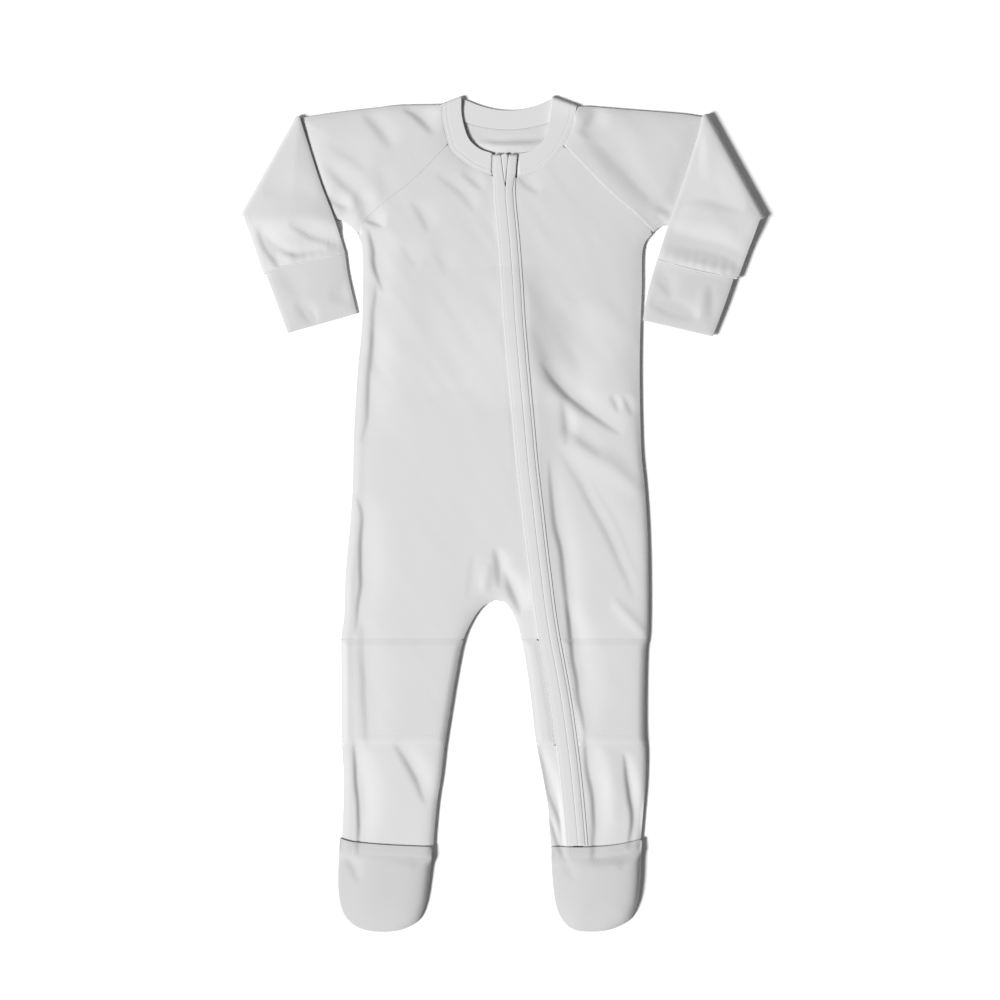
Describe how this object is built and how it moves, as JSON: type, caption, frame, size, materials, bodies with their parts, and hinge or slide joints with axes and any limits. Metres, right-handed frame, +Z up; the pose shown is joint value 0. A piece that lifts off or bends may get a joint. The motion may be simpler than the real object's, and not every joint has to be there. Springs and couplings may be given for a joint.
{
  "type": "footed baby sleepsuit",
  "caption": "Footed baby sleepsuit laid flat, its raglan sleeves folded in over the front, with rib neckband and cuffs, knee patches and a zip from neck to ankle.",
  "frame": {"origin": "middle of the overall box in X and Y, on the surface that the garment lies on", "axes": "+Y towards the neck, +X towards the leg that the zip runs down, +Z up from the surface, out of the garment's front"},
  "size_m": [0.3832, 0.6104, 0.0104],
  "materials": {
    "jersey": "matte fine jersey",
    "rib": "matte fine rib",
    "trim": "matte folded jersey",
    "knee": "matte textured jersey",
    "zip": "woven tape with a plastic coil"
  },
  "bodies": {
    "root": {"back": "jersey", "front_left": "jersey", "front_right": "jersey", "sleeve_left": "jersey", "sleeve_right": "jersey", "cuff_left": "rib", "cuff_right": "rib", "neckband": "rib", "zip_chain": "zip", "zip_guard": "trim", "placket_left": "trim", "placket_right": "trim", "zip_piping": "trim", "knee_left": "knee", "knee_right_inner": "knee", "knee_right_outer": "knee", "foot_left_front": "jersey", "foot_left_back": "jersey", "foot_right_front": "jersey", "foot_right_back": "jersey"}
  },
  "joints": []
}
